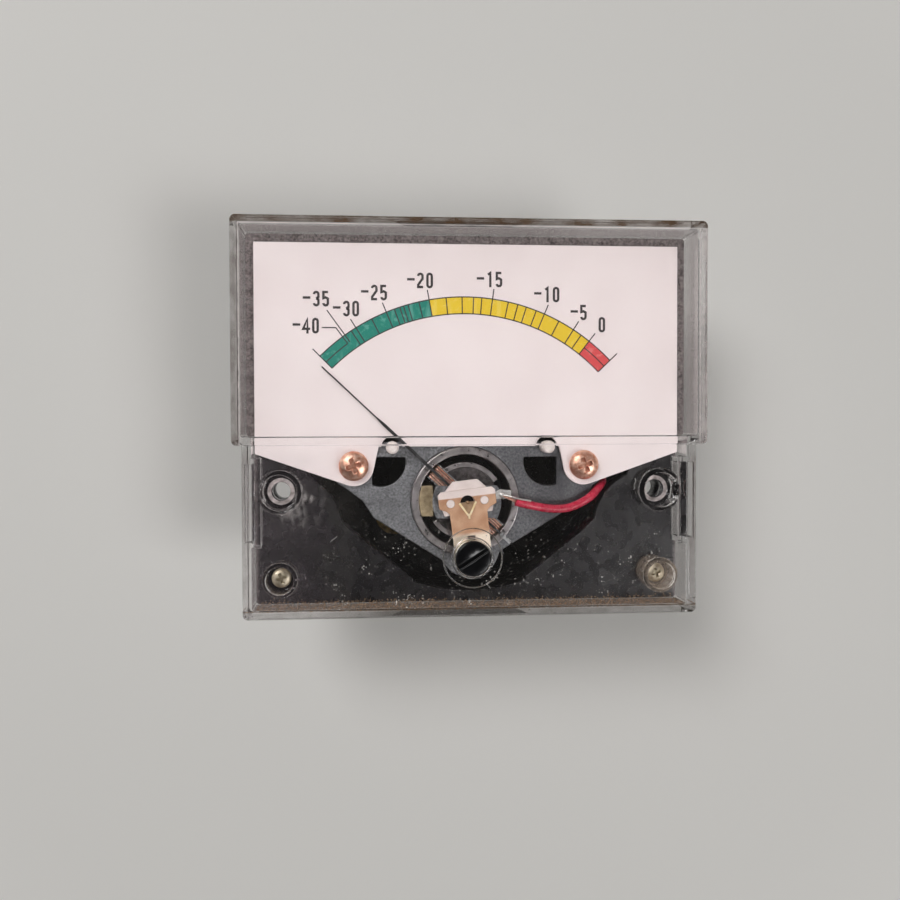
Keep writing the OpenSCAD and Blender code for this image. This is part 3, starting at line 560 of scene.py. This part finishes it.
# Middle of each number on the dial
NUMBER_AT = {-40: (-31.35, 18.25), -35: (-29.4, 23.4), -30: (-23.7, 21.55), -25: (-18.35, 24.65),
             -20: (-9.5, 27.05), -15: (3.95, 27.35), -10: (15.15, 24.55), -5: (21.45, 21.1),
             0: (26.05, 18.75)}
NUMBER_H, NUMBER_W, NUMBER_STROKE, NUMBER_PITCH = 3.0, 1.3, 0.46, 1.78
MINUS_W, MINUS_PITCH = 1.45, 1.9
INK_BAND, INK_LINE = 0.02 * MM, 0.035 * MM
centre = Vector((pivot.x, pivot.y)) / MM


def ray(angle, first, last):
    """A straight path on the dial along one angle."""
    way = Vector((math.cos(math.radians(angle)), math.sin(math.radians(angle))))
    return [tuple(centre + way * r) for r in (first, last)]


def colour_band(first, last):
    """Fills the scale's band between two angles."""
    path = arc(centre, (BAND_IN + BAND_OUT) / 2, first, last, max(4, round(abs(last - first))))
    return lambda shape: strip(shape, path, BAND_OUT - BAND_IN, dial_front, dial_front + INK_BAND)


def scale_lines(shape):
    """Arcs, divisions, ticks and the two leaders on the left."""
    middle = (BAND_IN + BAND_OUT) / 2
    paths = [arc(centre, r, SCALE_START, SCALE_END, 90) for r in (BAND_IN, BAND_OUT)]
    paths += [arc(centre, middle, *ends, 8) for ends in ((SCALE_START, SCALE[-40]), (SCALE[0], SCALE_END))]
    paths += [ray(a, BAND_IN, BAND_OUT) for a in DIVISIONS]
    paths += [ray(a, BAND_IN, TICK_OUT) for a in (SCALE_START, SCALE_END)]
    paths += [ray(a, BAND_IN, TICK_OUT) for value, a in SCALE.items() if value > -35]
    paths.append(ray(SCALE[-35], middle, LEADER_35))
    bent = ray(SCALE[-40], middle, LEADER_40)
    paths.append(bent + [(bent[1][0] - LEADER_40_RUN, bent[1][1])])
    for path in paths:
        strip(shape, path, LINE, dial_front, dial_front + INK_LINE)


def digit_strokes(sign):
    """Middle lines of a narrow digit in a box of its own width and height."""
    left, right = NUMBER_STROKE / 2, NUMBER_W - NUMBER_STROKE / 2
    low, high = NUMBER_STROKE / 2, NUMBER_H - NUMBER_STROKE / 2
    mid, turn = NUMBER_W / 2, (right - left) / 2
    half = NUMBER_H / 2
    top = arc((mid, high - turn), turn, 180, 0, 10)
    foot = arc((mid, low + turn), turn, 0, -180, 10)
    return {
        "-": [[(0, half + 0.2), (MINUS_W, half + 0.2)]],
        "0": [top + foot + [top[0]]],
        "1": [[(0.75, 0), (0.75, high), (0.3, high - 0.35)]],
        "2": [top + [(right, half + 0.35), (left, 0.65), (left, low), (right + 0.1, low)]],
        "3": [top + [(right, half + 0.3), (mid, half + 0.05)],
              [(mid, half + 0.05), (right, half - 0.2)] + foot],
        "4": [[(0.9, 0), (0.9, high), (0.1, 0.9), (NUMBER_W + 0.1, 0.9)]],
        "5": [[(right + 0.05, high), (left, high), (left, half + 0.1), (mid, half + 0.25),
               (right, half)] + foot],
    }[sign]


def scale_numbers(shape):
    """The number at each mark, drawn in strokes."""
    for value, (x, y) in NUMBER_AT.items():
        digits = str(abs(value))
        starts = [(sign, NUMBER_PITCH * place) for place, sign in enumerate(digits)]
        width = NUMBER_PITCH * (len(digits) - 1) + NUMBER_W
        if value < 0:
            starts = [("-", 0)] + [(sign, at + MINUS_PITCH) for sign, at in starts]
            width += MINUS_PITCH
        for sign, at in starts:
            corner = Vector((x - width / 2 + at, y - NUMBER_H / 2))
            for path in digit_strokes(sign):
                strip(shape, [tuple(corner + Vector(p)) for p in path], NUMBER_STROKE,
                      dial_front, dial_front + INK_LINE)


dark_ink = printed_ink("dark_grey_ink", "3A3334", "6F6665", 0.4)
for name, ink, ends in (
    ("band_green", printed_ink("green_ink", "0B8271", "62AA9C", 0.7), (SCALE_START, SCALE[-20])),
    ("band_yellow", printed_ink("yellow_ink", "E8C628", "EED663", 0.5), (SCALE[-20], SCALE[0])),
    ("band_red", printed_ink("red_ink", "DA4C4E", "E78683", 0.55), (SCALE[0], SCALE_END)),
):
    piece(name, "case", ink, colour_band(*ends))
piece("scale_lines", "case", dark_ink, scale_lines)
piece("scale_numbers", "case", dark_ink, scale_numbers)


# Wound coil: the wire is drawn coarser than a real one, which would be too fine to see

WIRE, WIRE_PITCH = 0.38, 0.48
COIL_TURNS = 6
COIL_REACH = 8.55
COIL_CORNER, CORNER_STEPS = 0.5, 5
WIRE_SIDES = 8


def winding(shape):
    """Side by side turns of wire round the former, with rounded corners."""
    low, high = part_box("coil_winding")
    aim = Matrix.Rotation(math.radians(NEEDLE_REST), 3, "Z")
    top, foot, end = high.z / MM - WIRE / 2, low.z / MM + WIRE / 2, COIL_REACH - WIRE / 2
    for turn in range(COIL_TURNS):
        across = (turn - (COIL_TURNS - 1) / 2) * WIRE_PITCH
        outline = []
        for x, z, first in ((1, 1, 0), (-1, 1, 90), (-1, -1, 180), (1, -1, 270)):
            mid = (x * (end - COIL_CORNER), (top - COIL_CORNER) if z > 0 else (foot + COIL_CORNER))
            outline += arc(mid, COIL_CORNER, first, first + 90, CORNER_STEPS)
        path = [aim @ Vector((u, across, 0)) * MM + Vector((pivot.x, pivot.y, w * MM))
                for u, w in outline]
        tube(shape, path, WIRE / 2 * MM, WIRE_SIDES, closed=True)


piece("winding_turns", "moving_coil", finishes["copper_wire"], winding, ["coil_winding"])


# Bright folded edges of the spring tongue on the zero lever

TONGUE_HALF, TONGUE_TOP, TONGUE_LOW = 1.6, 0.05, -2.3
TONGUE_EDGE, TONGUE_T, TONGUE_RIM, TONGUE_STEM = 0.36, 0.25, 0.14, 0.8
TONGUE_FOOT, STEM_GAP = 0.22, 0.1


def tongue_edges(shape):
    """Two raised rims that meet at the foot of the tongue, and the short stem below them."""
    aim = Matrix.Rotation(math.radians(LEVER_TILT), 2)
    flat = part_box("upper_spring")[0].z + TONGUE_T * MM
    rims = [(-TONGUE_HALF, TONGUE_TOP), (-TONGUE_FOOT, TONGUE_LOW),
            (TONGUE_FOOT, TONGUE_LOW), (TONGUE_HALF, TONGUE_TOP)]
    stem = [(0, TONGUE_LOW - STEM_GAP), (0, TONGUE_LOW - TONGUE_STEM)]
    for path in (rims, stem):
        turned = [tuple(centre + aim @ Vector(p)) for p in path]
        strip(shape, turned, TONGUE_EDGE, flat, flat + TONGUE_RIM * MM)


# Rolled brass, polished where it was folded: bright gold
bright_brass = metal("polished_brass_edge", "F7DEA4", "FFF3D6", 0.8, 0.5)
piece("tongue_edges", "zero_arm", bright_brass, tongue_edges)
# Bronze foil, heat stained: a dull brown tan
bronze_foil = metal("stained_bronze_foil", "9C8064", "C3A585", 0.9, 0.45)
nodes["upper_spring"].material_slots[0].material = bronze_foil


# Lead, its bare strands and its solder

LEAD_R = 0.8
LEAD_ROUTE = [(8.5, -15.45, 9.92), (9.6, -15.8, 9.85), (12.4, -16.45, 9.2), (15.5, -17, 8.3),
              (18.6, -17, 7.6), (21.6, -16.1, 6.9), (23.9, -14.7, 6.5), (25.8, -13.2, 4.6),
              (26.9, -12.3, 3), (27.3, -11.2, 1.2), (27.2, -10.6, -1.8), (26.3, -13.5, -8),
              (22, -17.2, -11.8), (17, -19.4, -13.8), (14.2, -20.2, -14.46)]
SOLDER_AT = (6.05, -14.3)
SOLDER_SIZE, SOLDER_LUMPS, LUMP_SHARE = (0.75, 0.58, 0.42), 6, 0.03
SOLDER_LIFT, STRAND_LIFT = 0.05, 0.25
STRAND_R, STRAND_RING, STRANDS = 0.09, 0.17, 6
# Steps along a strand, and its turn at each step in radians
STRAND_STEPS, STRAND_TWIST = 12, 0.22
# One tinned strand that missed the sleeve and lies on it
STRAY_R = 0.17
STRAY_ROUTE = [(6.2, -14.25, 9.95), (7.2, -14.4, 10.3), (8.3, -14.75, 10.65), (9.5, -15.0, 10.7),
               (11.3, -15.3, 10.55)]

piece("lead_sleeve", "case", finishes["red_sleeve"],
      lambda shape: tube(shape, smooth(LEAD_ROUTE, 8), LEAD_R * MM, 16), ["red_lead"])
lug_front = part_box("lead_lug")[1].z


def bare_strands(shape):
    """Twisted strands from the solder into the sleeve."""
    first = Vector((*SOLDER_AT, lug_front / MM + STRAND_LIFT))
    last = Vector(LEAD_ROUTE[0])
    along = (last - first).normalized()
    side = along.orthogonal().normalized()
    over = along.cross(side)
    for strand in range(STRANDS + 1):
        ring = STRAND_RING if strand < STRANDS else 0.0
        turns = [strand * math.tau / STRANDS + STRAND_TWIST * k for k in range(STRAND_STEPS + 1)]
        path = [(first.lerp(last, k / STRAND_STEPS) + (side * math.cos(a) + over * math.sin(a)) * ring) * MM
                for k, a in enumerate(turns)]
        tube(shape, path, STRAND_R * MM, 8)


def solder_drop(shape):
    """A lumpy drop of solder on the lug."""
    dice = random.Random(5)
    ways = [Vector((dice.uniform(-1, 1), dice.uniform(-1, 1), dice.uniform(-1, 1)))
            for _ in range(SOLDER_LUMPS)]
    drop = bmesh.ops.create_icosphere(shape, subdivisions=4, radius=1.0)["verts"]
    middle = Vector((SOLDER_AT[0] * MM, SOLDER_AT[1] * MM, lug_front + SOLDER_LIFT * MM))
    for v in drop:
        lump = 1 + LUMP_SHARE * sum(math.sin(3 * v.co.dot(w) + i) for i, w in enumerate(ways))
        v.co = middle + Vector([v.co[i] * SOLDER_SIZE[i] for i in range(3)]) * lump * MM
    for face in shape.faces:
        face.smooth = True


piece("bare_strands", "case", finishes["copper_wire"], bare_strands)
piece("stray_strand", "case", finishes["tinned_metal"],
      lambda shape: tube(shape, smooth(STRAY_ROUTE, 6), STRAY_R * MM, 10))
piece("solder_drop", "case", finishes["tinned_metal"], solder_drop, ["lead_solder"])


# Brass that has darkened inside the case: a deep brown
darkened_brass = metal("darkened_brass", "4A3E28", "8A7446", 1.6, 0.45)
for name in ("return_strap", "terminal_nuts", "terminal_washers", "terminal_studs"):
    nodes[name].material_slots[0].material = darkened_brass


# Scuffed rings on the seats of the upper bosses

SEAT_FRONT = 8.6
SCUFF_IN, SCUFF_OUT, SCUFF_T = 1.8, 2.55, 0.02


def scuffed_seats(shape):
    """A thin frosted ring on each of the two seats."""
    for side in (-1, 1):
        path = arc((side * BOSS_X, UPPER_BOSS_Y), (SCUFF_IN + SCUFF_OUT) / 2, 0, 360, 48)[:-1]
        strip(shape, path, SCUFF_OUT - SCUFF_IN, SEAT_FRONT * MM, (SEAT_FRONT + SCUFF_T) * MM, closed=True)


# Acrylic, rubbed rough: a frosted grey white
frosted = plastic("scuffed_acrylic", "6E6563", "C6BCBA", 1.0, 0.5)
piece("scuffed_seats", "case", frosted, scuffed_seats)


# Dust and lint that gathered in the meter

# Sizes in millimetres; a share of the grains lies on the base, and the others cling to the wall
CRUMBS = 1800
CRUMB_SIZES, CRUMB_REACH, CRUMB_CLIMB = (0.04, 0.15), 40.5, 6.1
ON_BASE, BASE_SPREAD = 0.35, (0.1, 0.35)
CRUMB_DENT = 0.25


def crumbs(shape):
    """Small grains in the corner between the bottom wall and the base, and up the wall."""
    dice = random.Random(11)
    for _ in range(CRUMBS):
        size = dice.uniform(*CRUMB_SIZES) * MM
        x = dice.uniform(-CRUMB_REACH, CRUMB_REACH) * MM
        y = BOTTOM_WALL * MM + size * 0.9
        z = base_front + size * 0.6
        if dice.random() < ON_BASE:
            y += abs(dice.gauss(*BASE_SPREAD)) * MM
        else:
            z += dice.uniform(0.0, CRUMB_CLIMB) * MM
        place = Matrix.Translation((x, y, z))
        grain = bmesh.ops.create_icosphere(shape, subdivisions=1, radius=size, matrix=place)
        for v in grain["verts"]:
            v.co += Vector([dice.uniform(-CRUMB_DENT, CRUMB_DENT) * size for _ in range(3)])


# Place of each fibre on the lower panel, its heading in degrees and its length
LINT = ((-26.6, -22.4, 60, 1.6), (30.6, -13.2, 70, 2.4), (33.4, -26.8, 20, 1.3), (3.2, -31.5, 150, 1.2),
        (12.4, -30.2, 100, 1.0), (-12.6, -33.4, 30, 1.4))
LINT_R, LINT_LIFT, LINT_STEPS = 0.04, 0.05, 6
# Most that a fibre bends at a step, in radians
LINT_CURL = 0.8


def lint(shape):
    """Short curled fibres on the lower panel."""
    dice = random.Random(3)
    for x, y, heading, length in LINT:
        here, turn = Vector((x, y)), math.radians(heading)
        points = []
        for _ in range(LINT_STEPS + 1):
            points.append((*here, panel_front / MM + LINT_LIFT))
            here = here + Vector((math.cos(turn), math.sin(turn))) * length / LINT_STEPS
            turn += dice.uniform(-LINT_CURL, LINT_CURL)
        tube(shape, smooth(points, 3), LINT_R * MM, 6)


# Dry dirt: brown and quite matt
brown_dust = plastic("brown_dust", "54402E", "A58A6E", 0.3, 0.8)
# Cotton fluff: a soft grey white
grey_lint = plastic("cotton_lint", "CFCBC6", "E6E3DF", 0.3, 0.8)
piece("dust_crumbs", "case", brown_dust, crumbs)
piece("lint_fibres", "case", grey_lint, lint)


# Floor, light and camera

HORIZON, CEILING, ROOM_COLOUR = 0.8, 0.05, "FFFDFA"
# Half the floor's side in metres, and where it starts and ends to fade into the room, in millimetres
FLOOR_HALF = 3.0
FADE_START, FADE_END = 130, 700


def floor():
    """A wide pale floor under the studs, which fades into the room far away."""
    mesh = bpy.data.meshes.new("floor")
    corners = ((-1, -1), (1, -1), (1, 1), (-1, 1))
    mesh.from_pydata([(x * FLOOR_HALF, y * FLOOR_HALF, floor_height) for x, y in corners], [], [(0, 1, 2, 3)])
    made = bpy.data.objects.new("floor", mesh)
    bpy.context.scene.collection.objects.link(made)
    pale, tree = start("pale_floor")
    paint = add(tree, "ShaderNodeBsdfDiffuse", {"Color": linear("F3F1ED")})
    far = add(tree, "ShaderNodeEmission", {"Color": linear(ROOM_COLOUR), "Strength": HORIZON})
    straight = add(tree, "ShaderNodeLightPath", out="Is Camera Ray")
    mirrored = add(tree, "ShaderNodeLightPath", out="Is Glossy Ray")
    through = add(tree, "ShaderNodeLightPath", out="Is Transmission Ray")
    bent = add(tree, "ShaderNodeMath", {0: mirrored, 1: through}, **MOST)
    seen = add(tree, "ShaderNodeMath", {0: straight, 1: bent}, **MOST)
    far_off = around(tree, (0, 0), FADE_END, FADE_START)
    faded = add(tree, "ShaderNodeMath", {0: far_off, 1: seen}, **TIMES)
    blended = add(tree, "ShaderNodeMixShader", {0: faded, 1: paint, 2: far})
    add(tree, "ShaderNodeOutputMaterial", {"Surface": blended})
    mesh.materials.append(pale)


def lamp(name, place, size, power):
    """A square soft lamp that faces the meter."""
    data = bpy.data.lights.new(name, "AREA")
    data.shape = "SQUARE"
    data.size = size
    data.energy = power
    made = bpy.data.objects.new(name, data)
    made.location = place
    made.rotation_euler = (-Vector(place)).to_track_quat("-Z", "Y").to_euler()
    bpy.context.scene.collection.objects.link(made)


def room():
    """Pale walls under a darker ceiling, so that the window mirrors little."""
    world = bpy.data.worlds.new("room")
    bpy.context.scene.world = world
    world.use_nodes = True
    tree = world.node_tree
    tree.nodes.clear()
    way = add(tree, "ShaderNodeTexCoord", out="Generated")
    height = add(tree, "ShaderNodeSeparateXYZ", {0: way}, out="Z")
    level = add(tree, "ShaderNodeMapRange", {"Value": height, "From Min": 0.0, "From Max": 0.6,
                                             "To Min": HORIZON, "To Max": CEILING})
    light = add(tree, "ShaderNodeBackground", {"Color": linear(ROOM_COLOUR), "Strength": level})
    add(tree, "ShaderNodeOutputWorld", {"Surface": light})


floor()
room()
lamp("key_softbox", place=(-0.394, 0.394, 0.642), size=0.34, power=2.85)
lamp("fill_softbox", place=(0.448, -0.269, 0.67), size=0.3, power=1.8)

# The camera stands almost straight above, a little to the left; its place is in millimetres
CAMERA_AT = (-19.13, -1.59, 191.99)
CAMERA_LEAN, LEAN_AXIS = -4.89, (0.252, 0.967, 0.048)
SENSOR_WIDTH, LENS = 36.0, 38.4
camera = bpy.data.objects.new("camera", bpy.data.cameras.new("camera"))
camera.data.sensor_width = SENSOR_WIDTH
camera.data.lens = LENS
camera.data.clip_start = 0.01
lean = Matrix.Rotation(math.radians(CAMERA_LEAN), 4, Vector(LEAN_AXIS))
camera.matrix_world = Matrix.Translation(Vector(CAMERA_AT) * MM) @ lean
bpy.context.scene.collection.objects.link(camera)
bpy.context.scene.camera = camera
bpy.context.scene.view_settings.view_transform = "Standard"
